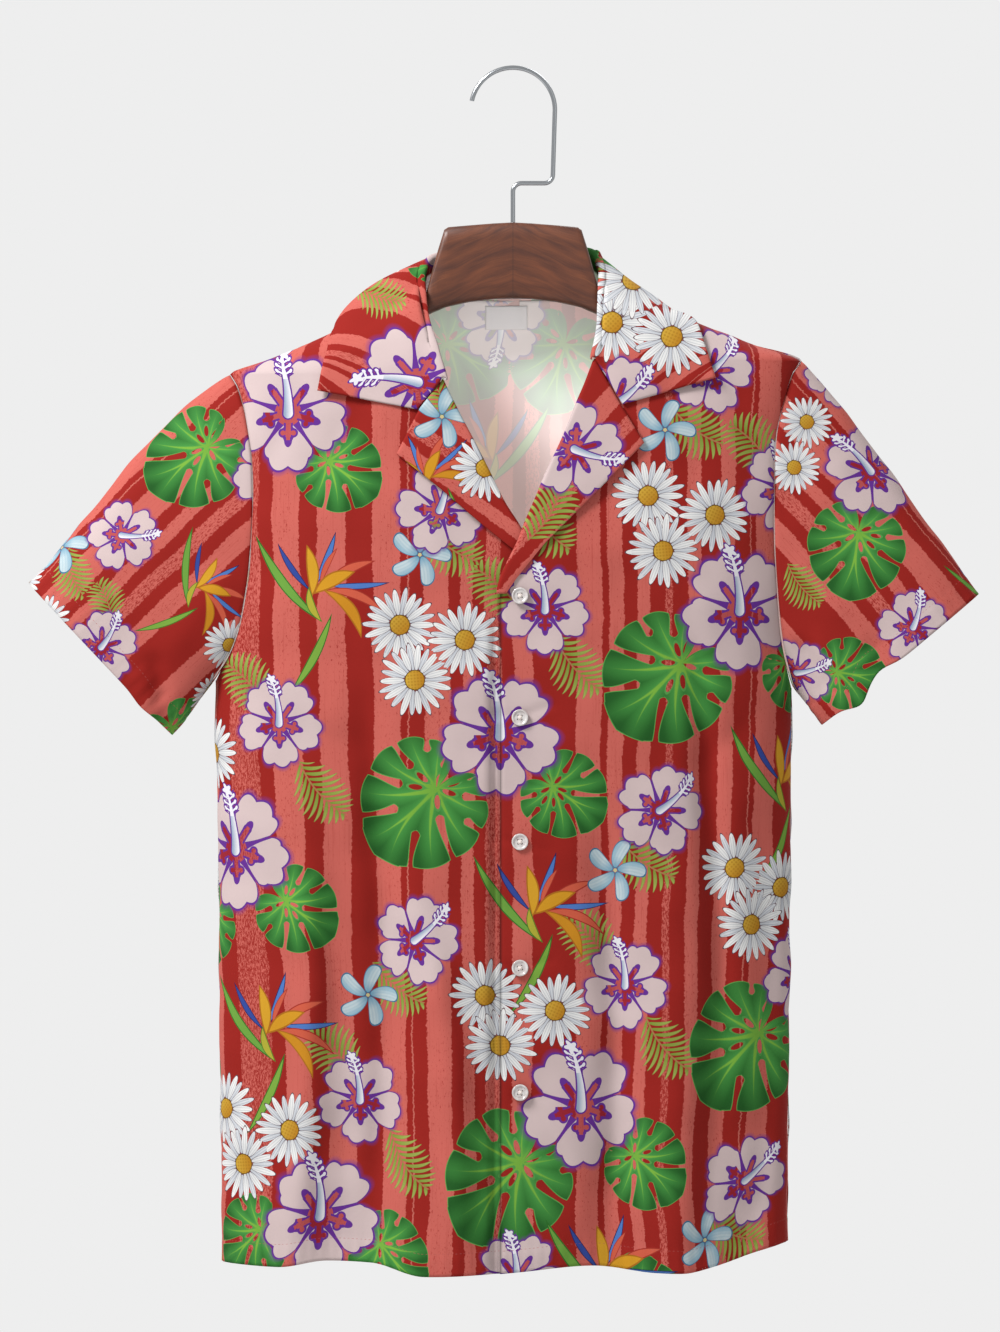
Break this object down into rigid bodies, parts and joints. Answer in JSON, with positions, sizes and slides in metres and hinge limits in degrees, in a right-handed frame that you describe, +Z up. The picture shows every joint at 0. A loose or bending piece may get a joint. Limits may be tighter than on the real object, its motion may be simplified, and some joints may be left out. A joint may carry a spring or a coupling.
{
  "type": "hawaiian shirt on a hanger",
  "caption": "Short-sleeved camp-collar shirt with a tropical print, buttoned down the front and hung on a wooden hanger with a wire hook.",
  "frame": {"origin": "inside top of the hook, where a rail holds the hanger", "axes": "+Z up, the shirt's front faces -Y, +X is towards the wearer's left"},
  "size_m": [0.7175, 0.114, 0.9105],
  "materials": {
    "printed_cloth": "printed plain-weave cloth, coral and dark red stripes under flowers and leaves, paler inside",
    "label_cloth": "bare white satin label",
    "pearl_button": "pearly translucent plastic with four holes",
    "walnut": "reddish walnut stain, satin lacquer",
    "steel_wire": "bright round wire"
  },
  "bodies": {
    "root": {"back": "printed_cloth", "front_right": "printed_cloth", "front_left": "printed_cloth", "sleeve_right": "printed_cloth", "sleeve_left": "printed_cloth", "collar": "printed_cloth", "lapel_right": "printed_cloth", "lapel_left": "printed_cloth", "neck_label": "label_cloth", "button_1": "pearl_button", "button_2": "pearl_button", "button_3": "pearl_button", "button_4": "pearl_button", "button_5": "pearl_button", "hanger_wood": "walnut", "hanger_hook": "steel_wire"}
  },
  "joints": []
}
